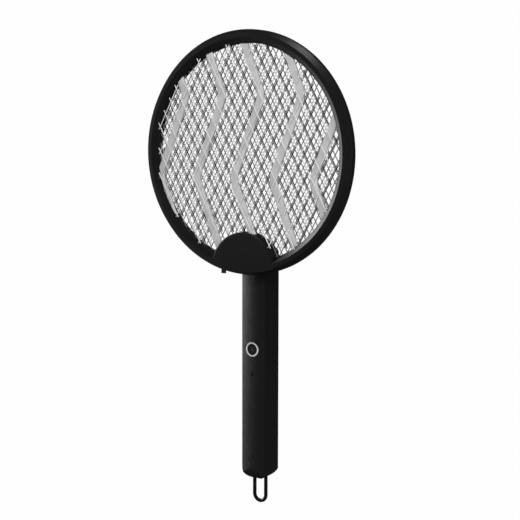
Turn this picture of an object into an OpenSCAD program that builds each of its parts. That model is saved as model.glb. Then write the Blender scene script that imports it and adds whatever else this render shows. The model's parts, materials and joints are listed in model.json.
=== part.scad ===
// Electric fly swatter with a round three-layer grid and a swivelling, folding head.
// The grip centre is the origin, +Z runs up the handle to the head and -Y is the front.

/* [Head] */
// Outer diameter of the round frame
head_d = 230; // [200:1:280]
// Depth of the frame from front to back
head_t = 16; // [16:0.5:20]
// Width of the frame's rim, seen from the front
rim_w = 12.7; // [11.5:0.1:15]
// Width of the sloped inner edge of the rim
bevel_w = 5; // [4:0.1:6]
// Depth of the sloped inner edge of the rim
bevel_t = 3.6; // [2:0.1:4]
// Wall of the frame halves
rim_wall = 2.4; // [2:0.1:2.6]
// Radius of the round hub plate at the bottom of the head
hub_r = 35.1; // [33:0.1:42]
// Height of the hub plate's centre above the frame's lowest point
hub_in = 5.4; // [2:0.1:6]
// Height of the swivel axis above the frame's lowest point
pivot_in = 15; // [15:0.5:18]

/* [Grid] */
// Spacing of the guard wires
guard_pitch = 11.7; // [9:0.1:15]
// Spacing of the electrode wires
electrode_pitch = 5.85; // [5:0.05:8]
// Angle of the wires from the handle's direction
wire_angle = 28.7; // [20:0.1:35]
// Thickness of the guard wires
guard_wire = 1.1; // [0.8:0.05:1.5]
// Thickness of the electrode wires
electrode_wire = 0.8; // [0.6:0.05:1]
// Number of zigzag ribs
rib_count = 5; // [3:1:6]
// Distance between neighbouring ribs
rib_pitch = 43.5; // [30:0.5:48]
// Width of a rib
rib_w = 7.5; // [5:0.5:9]
// Half of a rib's swing to the side
rib_swing = 16; // [8:0.5:18]
// Height of one straight stretch of a rib
rib_stretch = 78; // [50:1:90]

/* [Handle] */
// Length of the handle's casing
handle_len = 232; // [210:1:290]
// Width of the handle's casing
handle_w = 26; // [26:0.5:34]
// Depth of the handle's casing
handle_d = 30.4; // [29:0.1:38]
// Height of the crown of the front cover
crown_h = 3; // [2.5:0.1:3.5]
// Radius of the casing's rear corners
rear_r = 4; // [2:0.5:6]
// Radius of the casing's rear edge at its upper end
end_r = 8; // [4:0.5:9]
// Radius of the domed foot, seen from the side
foot_r = 14.5; // [11:0.1:14.5]
// Wall of the handle's casing
wall = 2; // [1.6:0.1:2.2]
// Distance from the swivel axis to the handle's upper end
pivot_top = 11; // [11:0.5:13]
// Gap between the head's back and the handle's crown
swivel_gap = 1.6; // [1.4:0.1:3]

/* [Swivel] */
// Radius of the handle's swivel collar
collar_r = 7; // [6.5:0.1:7]
// Radius of the head's swivel stud
stud_r = 4; // [3.5:0.1:4.5]
// Radius of the passage for the leads in the stud
passage_r = 2.2; // [1.8:0.1:2.4]
// Radial running clearance of the swivel
run_gap = 0.05; // [0.03:0.01:0.1]

/* [Button] */
// Distance from the handle's middle up to the button
button_z = 15.4; // [8:0.1:26]
// Outer diameter of the bright ring
bezel_d = 14; // [12:0.1:15]
// Width of the bright ring
bezel_w = 1.4; // [1:0.1:2]
// Travel of the button
button_travel = 0.8; // [0.4:0.05:1]

/* [Hanging loop] */
// Thickness of the loop's rod
loop_rod = 3.6; // [3:0.1:4.2]
// Outer width of the loop
loop_w = 16.6; // [15.5:0.1:18]
// Length of the loop below the handle
loop_len = 25; // [18:0.5:30]
// Distance that the loop slides into the handle
loop_travel = 14; // [8:0.5:14]

/* [Cell] */
// Diameter of the cell
cell_d = 18.3; // [14:0.1:18.6]
// Length of the cell
cell_len = 65; // [50:0.5:65.2]

/* [Hidden] */
$fn = 96;

// Places on the handle
crown_y = -handle_d / 2;
part_y = crown_y + crown_h;
rear_y = handle_d / 2;
pivot_z = handle_len / 2 - pivot_top;
inner_w = handle_w - 2 * wall;
inner_rear = rear_y - wall;
foot_z = -handle_len / 2;

// Places on the head
ring_r = head_d / 2;
window_r = ring_r - rim_w;
head_y = crown_y - swivel_gap - head_t / 2;
head_z = pivot_z + ring_r - pivot_in;
front = -head_t / 2;
back = head_t / 2;
hub_z = hub_in - ring_r;
spin_z = pivot_in - ring_r;
groove_r = ring_r - rim_wall;

// Layers of the grid, measured from the middle plane of the head
guard_y = front + bevel_t + 0.2;
rib_y = guard_y + guard_wire + 0.1;
electrode_y = 0.6;
rear_guard_y = back - bevel_t - 0.2 - guard_wire;
seat_in = 3.5;
seat_r = window_r + seat_in;
guard_border = seat_in + 1.5;
electrode_seat = 1.3;
electrode_border = electrode_seat + 1.7;

// Clearances
fit_gap = 0.2;
move_gap = 0.3;

// Sloped outer edge of the frame
edge_w = 3.7;
edge_t = 5.5;

// Depths of the swivel's pieces on the handle's side
collar_reach = 6.6;
washer_gap = 1.2;
collar_end = part_y + collar_reach;

// Cross recess and holes of the small screws
recess_l = 2.8;
recess_w = 0.5;
recess_t = 0.5;
screw_r = 0.8;
clear_r = 1.15;

// Draws a flat outline as a plate that stands between two depths
module slab(y0, y1) {
  translate([0, y1, 0]) rotate([90, 0, 0]) linear_extrude(y1 - y0) children();
}

// Turns a profile of radius and depth about the depth axis
module turned() {
  rotate([90, 0, 0]) rotate_extrude() mirror([0, 1]) children();
}

// A round rod along the depth axis
module rod_y(r, y0, y1, x = 0, z = 0) {
  translate([x, y1, z]) rotate([90, 0, 0]) cylinder(r = r, h = y1 - y0);
}

module block(x0, x1, y0, y1, z0, z1) {
  translate([x0, y0, z0]) cube([x1 - x0, y1 - y0, z1 - z0]);
}

module in_head() {
  translate([0, head_y, head_z]) children();
}

// A screw along the depth axis whose head ends at y and whose point is at tip
module cross_screw(head_r, head_h, shank_r, tip, y) {
  difference() {
    union() {
      rod_y(head_r, y - head_h, y);
      rod_y(shank_r, tip, y - head_h + 0.1);
    }
    for (a = [0, 90]) rotate([0, a, 0])
      block(-recess_l / 2, recess_l / 2, y - recess_t, y + 1, -recess_w / 2, recess_w / 2);
  }
}

// A lead or spring wire swept along a list of points
function unit(v) = v / norm(v);
function tangent(p, i) = unit(p[min(i + 1, len(p) - 1)] - p[max(i - 1, 0)]);
function side(t) = unit(cross(t, abs(t.z) < 0.9 ? [0, 0, 1] : [0, 1, 0]));
module wire(path, r, sides = 8) {
  n = len(path);
  rings = [for (i = [0 : n - 1], k = [0 : sides - 1])
    let (t = tangent(path, i), a = side(t), b = cross(t, a), w = 360 * k / sides)
    path[i] + r * (cos(w) * a + sin(w) * b)];
  walls = [for (i = [0 : n - 2], k = [0 : sides - 1], half = [0, 1])
    let (j = (k + 1) % sides, here = i * sides, next = here + sides)
    half == 0 ? [here + k, here + j, next + j] : [here + k, next + j, next + k]];
  first = [for (k = [sides - 1 : -1 : 0]) k];
  last = [for (k = [0 : sides - 1]) (n - 1) * sides + k];
  polyhedron(points = rings, faces = concat([first], walls, [last]), convexity = 6);
}

// A smooth curve with four control points
function curve(a, b, c, d, n = 12) = [for (i = [0 : n])
  let (t = i / n, s = 1 - t)
  s * s * s * a + 3 * s * s * t * b + 3 * s * t * t * c + t * t * t * d];

function coil(r, z0, z1, turns, steps = 12) = [for (i = [0 : turns * steps])
  let (w = 360 * i / steps)
  [r * cos(w), r * sin(w), z0 + (z1 - z0) * i / (turns * steps)]];

// ---- Head: frame ----

// Fillet between the rim's inner edge and the hub plate
fillet_r = 4;
fillet_ring = window_r - fillet_r;
fillet_hub = hub_r + fillet_r;
fillet_z = (fillet_hub * fillet_hub - fillet_ring * fillet_ring - hub_z * hub_z) / (-2 * hub_z);
fillet_x = sqrt(fillet_ring * fillet_ring - fillet_z * fillet_z);
module hub_fillet() {
  middle = [fillet_x, fillet_z];
  outer = middle * window_r / fillet_ring;
  inner = [0, hub_z] + (middle - [0, hub_z]) * hub_r / fillet_hub;
  corner_z = (hub_r * hub_r - window_r * window_r - hub_z * hub_z) / (-2 * hub_z);
  corner_x = sqrt(window_r * window_r - corner_z * corner_z);
  difference() {
    polygon([outer, middle, inner, [corner_x, corner_z] * 1.02]);
    translate(middle) circle(r = fillet_r);
  }
}

// One half of the frame's rim, a channel open towards the other half
module rim_channel() {
  turned() polygon([
    [window_r, front + bevel_t], [window_r + bevel_w, front],
    [ring_r - edge_w, front], [ring_r, front + edge_t], [ring_r, 0], [groove_r, 0],
    [groove_r, front + edge_t - 1], [ring_r - edge_w - 0.7, front + rim_wall],
    [window_r + bevel_w + 0.6, front + rim_wall],
    [window_r + 2, front + bevel_t + 0.1], [window_r, front + bevel_t + 0.1]]);
}

// The hub plate's face with its bevelled edge and the wall behind it
hub_bevel = 1.4;
module hub_shell() {
  intersection() {
    translate([0, 0, hub_z]) turned() polygon([
      [0, front], [hub_r - hub_bevel, front], [hub_r, front + hub_bevel], [hub_r, 0],
      [hub_r - rim_wall, 0], [hub_r - rim_wall, front + rim_wall], [0, front + rim_wall]]);
    rod_y(ring_r - 2.5, front - 1, 1);
  }
  for (m = [0, 1]) mirror([m, 0, 0]) slab(front + hub_bevel, 0) hub_fillet();
}

boss_r = 2.6;
boss_root = rim_wall - 0.4;
ring_screw_r = 0.9;
ring_head_r = 1.95;
ring_head_h = 1.4;
ring_head_in = 1.1;
ring_seat = ring_head_h + ring_head_in + 0.1;
screw_count = 8;
screw_ring_r = groove_r - boss_r - 0.2;
function screw_angle(i) = 360 / screw_count * (i + 0.5);
module at_ring_screws() {
  for (i = [0 : screw_count - 1])
    rotate([0, screw_angle(i), 0]) translate([0, 0, screw_ring_r]) children();
}

module front_ring() color([0.03, 0.03, 0.033]) in_head() difference() {
  union() {
    rim_channel();
    hub_shell();
    at_ring_screws() rod_y(boss_r, front + boss_root, 0);
  }
  at_ring_screws() rod_y(ring_screw_r, front + rim_wall + 1, 1);
  strip(guard_strip, move_gap);
}

// Bosses that the swivel plate is screwed to
stud_boss_x = 19;
stud_boss_h = 10;
stud_boss_top = 17;
stud_bosses = [[-stud_boss_x, spin_z + stud_boss_h], [stud_boss_x, spin_z + stud_boss_h],
  [0, spin_z + stud_boss_top]];
module rear_ring() color([0.03, 0.03, 0.033]) in_head() difference() {
  union() {
    mirror([0, 1, 0]) rim_channel();
    mirror([0, 1, 0]) hub_shell();
    at_ring_screws() rod_y(boss_r, 0, back - boss_root);
    for (p = stud_bosses) rod_y(boss_r, plate_y + plate_t, back - boss_root, p.x, p.y);
  }
  at_ring_screws() rod_y(clear_r, -1, back + 1);
  at_ring_screws() rod_y(ring_head_r + 0.15, back - ring_seat, back + 1);
  for (p = stud_bosses) rod_y(screw_r, -1, back - rim_wall - 0.6, p.x, p.y);
  rod_y(collar_r + move_gap, -1, back + 1, 0, spin_z);
  block(tab_x - tab_w / 2 - move_gap, tab_x + tab_w / 2 + move_gap,
    latch_y - move_gap, latch_y + latch_t + move_gap, -ring_r - 1,
    spin_z + arm_h / 2 + latch_travel + move_gap);
  strip(electrode_strip, move_gap);
}

module ring_screws() color([0.3, 0.3, 0.32]) in_head() at_ring_screws()
  cross_screw(ring_head_r, ring_head_h, ring_screw_r, front + rim_wall + 1.6, back - ring_head_in);

// ---- Head: grid ----

// Everything inside a round outline that is clear of the hub plate
module clear_of_hub(r) {
  difference() {
    circle(r = r);
    translate([0, hub_z]) circle(r = hub_r + fit_gap);
    translate([-hub_r - 3, -ring_r]) square([2 * hub_r + 6, ring_r + fillet_z + 0.8]);
  }
}

// Diamond holes between wires of a given pitch and thickness
module diamonds(pitch, wire_w, r) {
  step_x = pitch / cos(wire_angle);
  step_z = pitch / sin(wire_angle);
  half_x = (pitch - wire_w) / cos(wire_angle) / 2;
  half_z = (pitch - wire_w) / sin(wire_angle) / 2;
  n = ceil(2 * r / step_x);
  m = ceil(2 * r / step_z);
  for (i = [-n : n], j = [-m : m])
    if ((i + j) % 2 == 0 && norm([i * step_x / 2, j * step_z / 2]) < r - half_x)
      translate([i * step_x / 2, j * step_z / 2])
        polygon([[half_x, 0], [0, half_z], [-half_x, 0], [0, -half_z]]);
}

// A sheet of crossed wires with a plain border that the frame holds
module lattice(pitch, wire_w, r, border) {
  difference() {
    clear_of_hub(r);
    intersection() {
      clear_of_hub(r - border);
      diamonds(pitch, wire_w, r - border);
    }
  }
}

module front_guard() color([0.62, 0.62, 0.63]) in_head()
  slab(guard_y, guard_y + guard_wire) lattice(guard_pitch, guard_wire, seat_r, guard_border);

module rear_guard() color([0.4, 0.4, 0.41]) in_head()
  slab(rear_guard_y, rear_guard_y + guard_wire) lattice(guard_pitch, guard_wire, seat_r, guard_border);

module electrode_grid() color([0.66, 0.66, 0.67]) in_head()
  slab(electrode_y, electrode_y + electrode_wire)
    lattice(2 * electrode_pitch, electrode_wire, window_r + electrode_seat,
      electrode_border);

carrier_gap = 0.05;
module grid_carrier() color([0.05, 0.05, 0.055]) in_head() difference() {
  slab(guard_y + guard_wire + carrier_gap, rear_guard_y - carrier_gap) difference() {
    clear_of_hub(seat_r);
    circle(r = window_r);
  }
  rod_y(window_r + electrode_seat + 0.1, electrode_y - carrier_gap,
    electrode_y + electrode_wire + carrier_gap);
}

// Zigzag ribs keep the wire sheets apart
rib_turn_z = 54;
rib_shift = 2;
module rib_outline(x0) {
  half = rib_w / 2 / cos(atan(2 * rib_swing / rib_stretch));
  turns = [for (k = [-3 : 2]) [x0 + (k % 2 == 0 ? rib_swing : -rib_swing),
    rib_turn_z + k * rib_stretch]];
  right = [for (p = turns) p + [half, 0]];
  left = [for (k = [len(turns) - 1 : -1 : 0]) turns[k] - [half, 0]];
  polygon(concat(right, left));
}

module zigzag_ribs() color([0.6, 0.6, 0.61]) in_head()
  for (i = [0 : rib_count - 1])
    slab(rib_y, electrode_y - 0.1) intersection() {
      rib_outline((i - (rib_count - 1) / 2) * rib_pitch + rib_shift);
      clear_of_hub(window_r - carrier_gap);
    }

// ---- Head: swivel, contacts and latch ----

plate_y = -1.5;
plate_t = 2;
collar_front = plate_y + plate_t + 0.4;
plate_r = 10.5;
plate_w = 46;
plate_h = 12.7;
plate_arm_w = 7;
plate_arm_h = 20.5;
clip_y = collar_end + washer_gap - head_y;
clip_t = 0.8;
clip_r = 6;
clip_in = 0.6;
stud_tail = 2.2;
stud_end = clip_y + stud_tail;
stud_head_r = 1.7;
stud_head_h = 1.3;
module swivel_stud() color([0.7, 0.7, 0.72]) in_head() difference() {
  union() {
    rod_y(plate_r, plate_y, plate_y + plate_t, 0, spin_z);
    slab(plate_y, plate_y + plate_t) intersection() {
      union() {
        translate([-plate_w / 2, spin_z]) square([plate_w, plate_h]);
        translate([-plate_arm_w / 2, spin_z]) square([plate_arm_w, plate_arm_h]);
      }
      translate([0, hub_z]) circle(r = hub_r - rim_wall - 0.4);
    }
    rod_y(stud_r, plate_y, stud_end, 0, spin_z);
  }
  rod_y(passage_r, plate_y - 1, stud_end + 1, 0, spin_z);
  for (p = stud_bosses) rod_y(screw_r + fit_gap, plate_y - 1, plate_y + plate_t + 1, p.x, p.y);
  translate([0, 0, spin_z]) turned()
    translate([stud_r - clip_in, clip_y]) square([1, clip_t + 0.1]);
}

module stud_screws() color([0.5, 0.5, 0.52]) in_head() for (p = stud_bosses) {
  rod_y(stud_head_r, plate_y - stud_head_h, plate_y, p.x, p.y);
  rod_y(screw_r, plate_y - 0.5, back - rim_wall - 1, p.x, p.y);
}

// The washer presses on the collar's inner face
collar_rear = clip_y - washer_gap;
module wave_washer() color([0.75, 0.72, 0.6]) in_head() difference() {
  rod_y(clip_r, collar_rear + 0.1, clip_y - 0.1, 0, spin_z);
  rod_y(stud_r + 0.15, collar_rear - 1, clip_y + 1, 0, spin_z);
}

module retaining_ring() color([0.35, 0.35, 0.37]) in_head() difference() {
  rod_y(clip_r, clip_y + 0.05, clip_y + 0.05 + clip_t, 0, spin_z);
  rod_y(stud_r - clip_in, clip_y - 1, clip_y + 2, 0, spin_z);
  block(-2.2, 2.2, clip_y - 1, clip_y + 2, spin_z - clip_r - 2, spin_z - 1);
}

// Contact strips that run through the hub wall onto the sheets
terminal_z = hub_z + hub_r;
strip_t = 0.5;
strip_w = 3;
strip_low = terminal_z - 10;
electrode_strip = [-12, electrode_y + electrode_wire + 0.05];
guard_strip = [-5, guard_y + guard_wire + 0.05];
module strip(p, grow = 0) {
  block(p.x - strip_w / 2 - grow, p.x + strip_w / 2 + grow, p.y - grow, p.y + strip_t + grow,
    strip_low, hub_z + sqrt(hub_r * hub_r - p.x * p.x) + 1);
}
module electrode_terminal() color([0.8, 0.62, 0.3]) in_head() strip(electrode_strip);
module guard_terminal() color([0.8, 0.62, 0.3]) in_head() strip(guard_strip);

lead_r = 0.6;
module head_leads() color([0.6, 0.1, 0.08]) in_head() {
  for (k = [0, 1])
    let (s = 2 * k - 1, end = k == 0 ? electrode_strip : guard_strip)
    wire(concat([[s, plate_y + 8, spin_z], [s, plate_y + 1, spin_z]],
      curve([s, plate_y - 0.3, spin_z], [s, plate_y - 3.2, spin_z],
        [end.x, plate_y - 3.2, strip_low + 0.4],
        [end.x, end.y + strip_t / 2, strip_low - lead_r])), lead_r);
}

// Latch plate round the collar, with a tab that stands out below the rim
latch_y = 2.2;
latch_t = 1.8;
latch_travel = 2;
tab_x = -28.5;
tab_w = 4.5;
tab_reach = 5;
arm_h = 3.6;
tab_end = -sqrt(ring_r * ring_r - tab_x * tab_x) - tab_reach;
latch_hole = collar_r + move_gap + 0.4;
latch_rim = 2.2;
latch_cut = 1.8;
key_w = 2.4;
module fold_latch() color([0.03, 0.03, 0.033]) in_head() slab(latch_y, latch_y + latch_t) {
  difference() {
    translate([0, spin_z]) circle(r = latch_hole + latch_rim);
    difference() {
      translate([0, spin_z]) circle(r = latch_hole);
      translate([-key_w / 2, spin_z + collar_r + move_gap]) square([key_w, 3]);
    }
    translate([-12, spin_z - 12]) square([24, 12 - latch_cut]);
  }
  translate([tab_x - tab_w / 2, spin_z - arm_h / 2])
    square([-tab_x + tab_w / 2 - latch_hole, arm_h]);
  translate([tab_x - tab_w / 2, tab_end]) square([tab_w, spin_z - tab_end]);
}

spring_r = 1.3;
spring_wire = 0.25;
spring_turns = 5;
spring_x = stud_bosses[0].x;
spring_top = stud_bosses[0].y - boss_r - 0.3;
module latch_spring() color([0.7, 0.7, 0.72]) in_head()
  translate([spring_x, latch_y + latch_t / 2, 0])
    wire(coil(spring_r, spin_z + arm_h / 2 + 0.3, spring_top, spring_turns), spring_wire, 6);

// ---- Handle: casing ----

half_w = handle_w / 2;
groove_w = 0.5;
crown_lip = 0.7;
cover_edge = part_y - groove_w / 2;
casing_edge = part_y + groove_w / 2;
crown_rise = crown_h - crown_lip;
crown_r = (half_w * half_w + crown_rise * crown_rise) / (2 * crown_rise);
cover_in = cover_edge;
tongue_t = 1.2;
tongue_h = 2.4;
tongue_end = cover_in + tongue_h;

// The casing's front outline, with round ends, drawn smaller by a wall
module stadium(inset = 0) {
  r = half_w - inset;
  l = handle_len / 2 - half_w;
  translate([-r, -l]) square([2 * r, 2 * l]);
  for (m = [-1, 1]) translate([0, m * l]) circle(r = r);
}

// The casing's cross-section, crowned in front and rounded at the rear corners
module section() {
  intersection() {
    translate([0, crown_y + crown_r]) circle(r = crown_r);
    union() {
      translate([-half_w, crown_y]) square([handle_w, handle_d - rear_r]);
      translate([rear_r - half_w, crown_y]) square([handle_w - 2 * rear_r, handle_d]);
      for (m = [-1, 1]) translate([m * (half_w - rear_r), rear_y - rear_r]) circle(r = rear_r);
    }
  }
}

// The casing's side outline: domed at the foot and rounded at the upper rear edge
module side_outline(inset) {
  l = handle_len / 2 - inset;
  back_y = rear_y - inset;
  front_dome = crown_y + foot_r;
  back_dome = rear_y - foot_r;
  dome_z = foot_z + foot_r;
  translate([crown_y - 1, dome_z]) square([back_y - crown_y + 1, handle_len - foot_r - end_r]);
  translate([crown_y - 1, dome_z]) square([rear_y - end_r - crown_y + 1, l - dome_z]);
  translate([rear_y - end_r, handle_len / 2 - end_r]) circle(r = end_r - inset);
  translate([front_dome, -l]) square([back_dome - front_dome, l]);
  for (y = [front_dome, back_dome]) translate([y, dome_z]) circle(r = foot_r - inset);
}

// Everything within the side outline, drawn smaller by an inset
module within_sides(inset = 0) {
  rotate([90, 0, 90]) translate([0, 0, -half_w - 1]) linear_extrude(handle_w + 2)
    side_outline(inset);
}

module casing_body() {
  intersection() {
    slab(casing_edge, rear_y + 1) stadium();
    translate([0, 0, foot_z - 1]) linear_extrude(handle_len + 2) section();
    within_sides();
  }
}

// The loop's legs, which slide in a guide above the handle's thick foot
foot_more = 0.6;
loop_x = loop_w / 2 - loop_rod / 2;
loop_arc_z = foot_z - loop_len + loop_w / 2;
guide_z = foot_z + wall + foot_more + fit_gap;
guide_h = 7;
guide_t = 8;
knob_h = 1;
loop_leg = guide_z + guide_h + knob_h + fit_gap - foot_z;

// Where the casing's four screws stand, the lower two above the raised loop
casing_boss_r = 2.6;
casing_post_r = 2.4;
casing_post_end = tongue_end + 2;
casing_head_r = 2;
casing_head_h = 1.6;
casing_head_in = 1.3;
casing_seat = casing_head_h + casing_head_in + 0.1;
upper_screw_in = 30;
casing_screw_z = [foot_z + loop_leg + loop_travel + casing_boss_r + 1,
  handle_len / 2 - upper_screw_in];
casing_screw_x = inner_w / 2 - casing_boss_r - 0.3;
module at_casing_screws() {
  for (z = casing_screw_z, m = [-1, 1]) translate([m * casing_screw_x, 0, z]) children();
}

slit_below = 16.4;
lens_below = 23.9;
slit_z = button_z - slit_below;
lens_z = button_z - lens_below;
light_w = 0.9;
light_l = 6;
lens_w = 2.6;
lens_l = 5;

// The circuit board, which the button, lights, socket and parts stand on
board_front = tongue_end + 0.4;
board_t = 1.2;
board_rear = board_front + board_t;
board_w = inner_w - 2;
board_low = lens_z - 12;
board_high = casing_screw_z[1] - 4;

module front_cover() color([0.1, 0.1, 0.105]) difference() {
  union() {
    intersection() {
      slab(crown_y - 1, cover_edge) stadium();
      translate([0, crown_y + crown_r, foot_z - 1]) cylinder(r = crown_r, h = handle_len + 2);
      within_sides();
    }
    intersection() {
      slab(cover_edge - 0.5, tongue_end) difference() {
        stadium(wall + 0.1);
        stadium(wall + 0.1 + tongue_t);
      }
      within_sides(wall + 0.1);
    }
    at_casing_screws() rod_y(casing_post_r, cover_in - 0.5, casing_post_end);
  }
  rod_y(bezel_d / 2, crown_y - 1, rear_y, 0, button_z);
  rod_y(collar_r, crown_y - 1, rear_y, 0, pivot_z);
  rod_y(collar_flange_r + fit_gap, cover_in, rear_y, 0, pivot_z);
  at_casing_screws() rod_y(screw_r, cover_in + 0.6, rear_y);
  block(-light_w / 2, light_w / 2, crown_y - 1, rear_y, slit_z - light_l / 2, slit_z + light_l / 2);
  block(-lens_w / 2, lens_w / 2, crown_y - 1, rear_y, lens_z - lens_l / 2, lens_z + lens_l / 2);
}

port_w = 8.9;
port_h = 3.2;
port_wall = 0.3;
port_in = 0.6;
port_l = 7.4;
port_z = board_low + 6.5;
port_y = board_rear + port_h / 2 + 0.1;
module rear_casing() color([0.045, 0.045, 0.05]) difference() {
  union() {
    difference() {
      casing_body();
      difference() {
        intersection() {
          slab(casing_edge - 1, inner_rear) stadium(wall);
          within_sides(wall);
        }
        block(-half_w, half_w, tongue_end + 0.1, rear_y, foot_z, foot_z + wall + foot_more);
      }
    }
    at_casing_screws() rod_y(casing_boss_r, casing_post_end + 0.1, inner_rear + 0.2);
  }
  at_casing_screws() rod_y(clear_r, crown_y, rear_y + 1);
  at_casing_screws() rod_y(casing_head_r + fit_gap, rear_y - casing_seat, rear_y + 1);
  for (m = [-1, 1]) translate([m * loop_x, 0, foot_z - 1])
    cylinder(r = loop_rod / 2 + move_gap, h = wall + 7);
  block(-half_w - 1, -half_w + wall + 0.5, port_y - port_h / 2 - fit_gap,
    port_y + port_h / 2 + fit_gap, port_z - port_w / 2 - fit_gap, port_z + port_w / 2 + fit_gap);
}

module casing_screws() color([0.3, 0.3, 0.32]) at_casing_screws()
  cross_screw(casing_head_r, casing_head_h, screw_r, cover_in + 1, rear_y - casing_head_in);

collar_flange_r = collar_r + 1.6;
slot_h = 0.7;
module swivel_collar() color([0.05, 0.05, 0.055]) difference() {
  union() {
    rod_y(collar_r, head_y + collar_front, collar_end, 0, pivot_z);
    rod_y(collar_flange_r, cover_in + 0.05, cover_in + 2, 0, pivot_z);
  }
  rod_y(stud_r + run_gap, head_y, collar_end + 1, 0, pivot_z);
  for (m = [-1, 1]) block(-1.6, 1.6, head_y + latch_y - 0.5, head_y + latch_y + latch_t + 0.5,
    pivot_z + m * (collar_r - 0.6) - slot_h, pivot_z + m * (collar_r - 0.6) + slot_h);
}

// ---- Handle: button and lights ----

bezel_proud = 0.35;
bezel_in = 1.6;
bezel_out = crown_y - bezel_proud;
bezel_rear = crown_y + bezel_in;
cap_r = bezel_d / 2 - bezel_w - fit_gap;
cap_out = crown_y - 0.15;
flange_y = bezel_rear + 0.05;
switch_w = 6;
switch_t = 1.9;
plunger_t = 0.6;
stem_r = 1.4;
stem_end = board_front - switch_t - plunger_t - 0.1 - button_travel;
module button_bezel() color([0.75, 0.75, 0.77]) translate([0, 0, button_z]) turned() polygon([
  [bezel_d / 2 - bezel_w, bezel_out + 0.3], [bezel_d / 2 - bezel_w + 0.3, bezel_out],
  [bezel_d / 2 - 0.3, bezel_out], [bezel_d / 2, bezel_out + 0.3],
  [bezel_d / 2, bezel_rear], [bezel_d / 2 - bezel_w, bezel_rear]]);

module power_button() color([0.03, 0.03, 0.033]) translate([0, 0, button_z]) turned() polygon([
  [0, cap_out + 0.2], [cap_r - 0.8, cap_out], [cap_r - 0.3, cap_out], [cap_r, cap_out + 0.3],
  [cap_r, flange_y], [cap_r + 0.9, flange_y], [cap_r + 0.9, flange_y + 0.8],
  [cap_r - 1, flange_y + 0.8], [cap_r - 1, flange_y - 0.6], [stem_r, flange_y - 0.6],
  [stem_r, stem_end], [0, stem_end]]);

module tact_switch() color([0.2, 0.2, 0.21]) {
  block(-switch_w / 2, switch_w / 2, board_front - switch_t, board_front - 0.02,
    button_z - switch_w / 2, button_z + switch_w / 2);
  rod_y(stem_r + 0.2, board_front - switch_t - plunger_t, board_front - switch_t, 0, button_z);
}

module circuit_board() color([0.05, 0.3, 0.12])
  block(-board_w / 2, board_w / 2, board_front, board_rear, board_low, board_high);

module status_led() color([0.85, 0.85, 0.8]) for (z = [slit_z, lens_z])
  block(-0.8, 0.8, board_front - 0.8, board_front - 0.02, z - 1, z + 1);

light_gap = 0.05;
light_rim = 0.5;
light_in = 0.15;
module light_guide(w, l, z, out) {
  block(-w / 2 + light_gap, w / 2 - light_gap, out, cover_in + 0.02,
    z - l / 2 + light_gap, z + l / 2 - light_gap);
  block(-w / 2 - light_rim, w / 2 + light_rim, cover_in + 0.02, cover_in + 0.8,
    z - l / 2 - light_rim, z + l / 2 + light_rim);
}
module status_light_pipe() color([0.75, 0.75, 0.75])
  light_guide(light_w, light_l, slit_z, crown_y + light_in);
module charge_lens() color([0.02, 0.02, 0.022])
  light_guide(lens_w, lens_l, lens_z, crown_y + light_in);

module charge_port() color([0.7, 0.7, 0.72]) difference() {
  block(-half_w + port_in, -half_w + port_in + port_l, port_y - port_h / 2, port_y + port_h / 2,
    port_z - port_w / 2, port_z + port_w / 2);
  block(-half_w, -half_w + port_in + port_l - 1,
    port_y - port_h / 2 + port_wall, port_y + port_h / 2 - port_wall,
    port_z - port_w / 2 + port_wall, port_z + port_w / 2 - port_wall);
}

// ---- Handle: electronics ----

// The cell stands between the lower screws and the charging socket's parts
cell_low = casing_screw_z[0] + casing_boss_r + 0.8;
cell_top = cell_low + cell_len;
cell_y = inner_rear - cell_d / 2 - 1;
module battery_cell() color([0.2, 0.35, 0.6]) translate([0, cell_y, cell_low]) {
  cylinder(r = cell_d / 2, h = cell_len - 1);
  cylinder(r = 4, h = cell_len);
}

// Parts on the back of the board, spread evenly above the cell and the socket
core_w = 16;
core_t = 2.45;
winding_r = 6.5;
winding_t = 8;
capacitor_w = 16;
capacitor_l = 9;
capacitor_t = 10;
diode_r = 1.5;
diode_count = 4;
diode_pitch = 5;
resistor_r = 1.3;
parts_l = core_w + capacitor_l + (diode_count - 1) * diode_pitch + 2 * diode_r + 2 * resistor_r;
parts_low = max(cell_top + 11, port_z + port_w);
parts_gap = (board_high - 5 - parts_low - parts_l) / 3;
capacitor_z = parts_low + core_w + parts_gap;
diode_z = capacitor_z + capacitor_l + parts_gap + diode_r;
resistor_z = board_high - 5 - resistor_r;

module step_up_transformer() color([0.85, 0.7, 0.2]) {
  for (y = [board_rear + 0.05, board_rear + 0.05 + core_t + winding_t])
    block(-core_w / 2, core_w / 2, y, y + core_t, parts_low, parts_low + core_w);
  rod_y(winding_r, board_rear + core_t, board_rear + 0.1 + core_t + winding_t,
    0, parts_low + core_w / 2);
}

module storage_capacitor() color([0.5, 0.12, 0.08])
  block(-capacitor_w / 2, capacitor_w / 2, board_rear + 0.05, board_rear + capacitor_t,
    capacitor_z, capacitor_z + capacitor_l);

module across(r, l, y, z) {
  translate([-l / 2, y, z]) rotate([0, 90, 0]) cylinder(r = r, h = l);
}

module voltage_diodes() color([0.12, 0.12, 0.13]) for (k = [0 : diode_count - 1])
  across(diode_r, 6, board_rear + diode_r + 0.1, diode_z + diode_pitch * k);

module discharge_resistor() color([0.75, 0.6, 0.4])
  across(resistor_r, 7, board_rear + resistor_r + 0.1, resistor_z);

tab_half = 5;
tab_t = 0.38;
module battery_tabs() color([0.8, 0.8, 0.82]) for (z = [cell_top + 0.02, cell_low - 0.02 - tab_t])
  block(-tab_half, tab_half, cell_y - tab_half, cell_y + tab_half, z, z + tab_t);

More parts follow.
